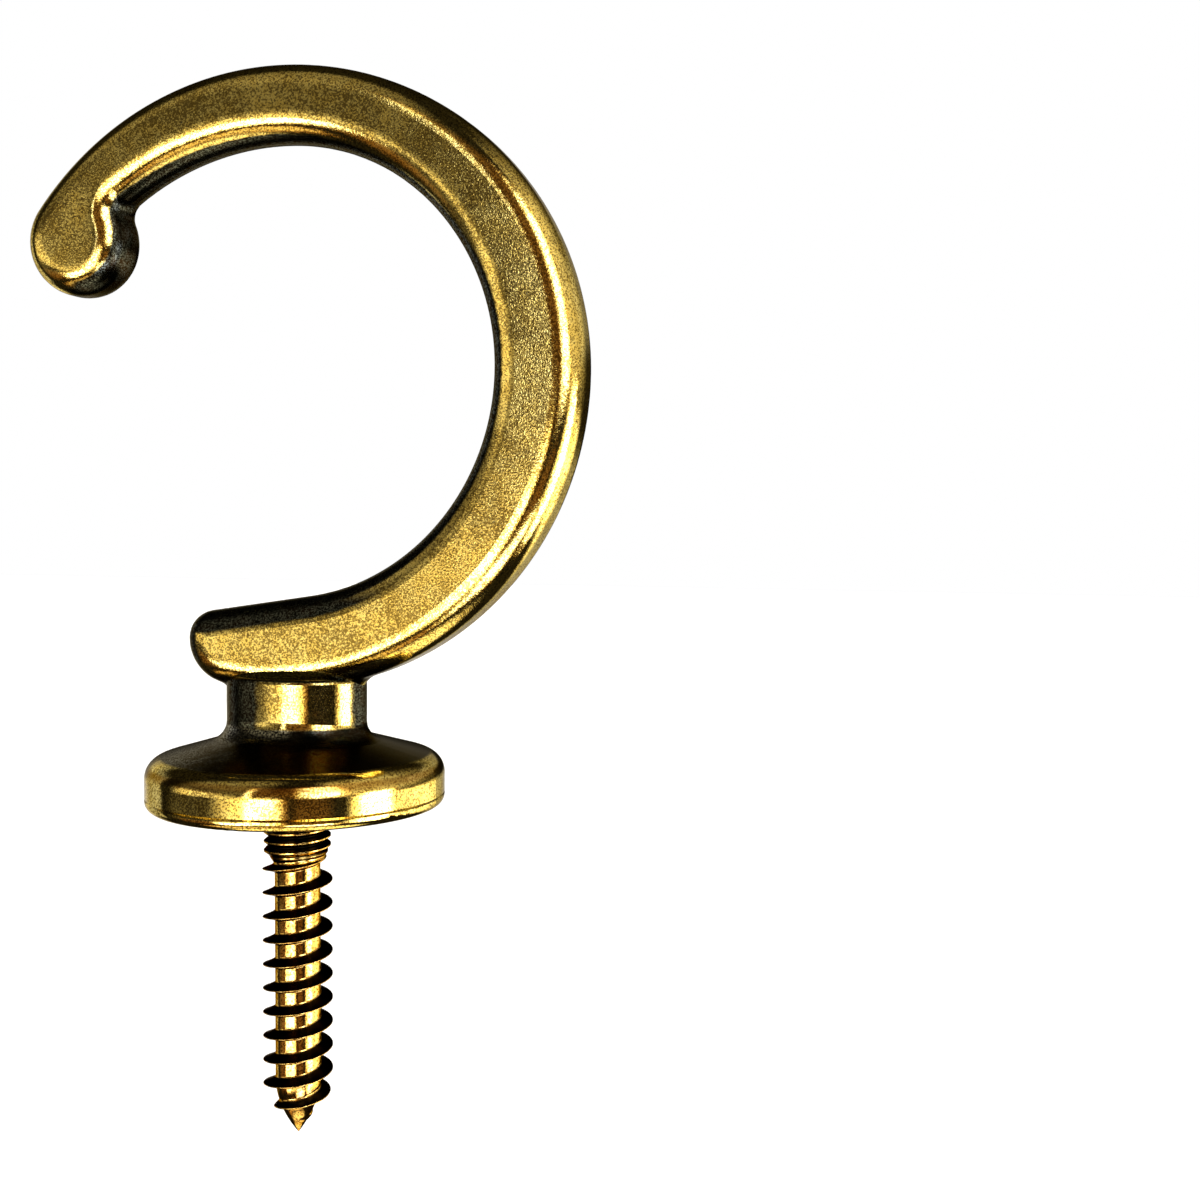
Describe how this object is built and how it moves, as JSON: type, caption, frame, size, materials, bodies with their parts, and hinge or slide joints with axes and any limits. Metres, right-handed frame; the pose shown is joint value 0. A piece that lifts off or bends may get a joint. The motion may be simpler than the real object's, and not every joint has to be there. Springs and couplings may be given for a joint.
{
  "type": "curtain tieback hook",
  "caption": "Crook-shaped hook of antique brass on a round rosette, with a wood screw in its back, that holds a curtain tieback at the wall.",
  "frame": {"origin": "centre of the rosette's flat back face, on the screw axis, where the hook meets the wall", "axes": "+Z out of the wall along the screw axis, from the screw's point to the crook's crown; +X to the crook's bulge, away from its open mouth; the crook lies in the XZ plane and +Y completes the frame"},
  "size_m": [0.0388, 0.0194, 0.0704],
  "materials": {
    "casting": "antique brass, darkened and relieved to bright metal on the edges, under clear lacquer",
    "stud": "plain rolled-thread brass, bright"
  },
  "bodies": {
    "root": {"hook_casting": "casting", "screw_stud": "stud"}
  },
  "joints": []
}
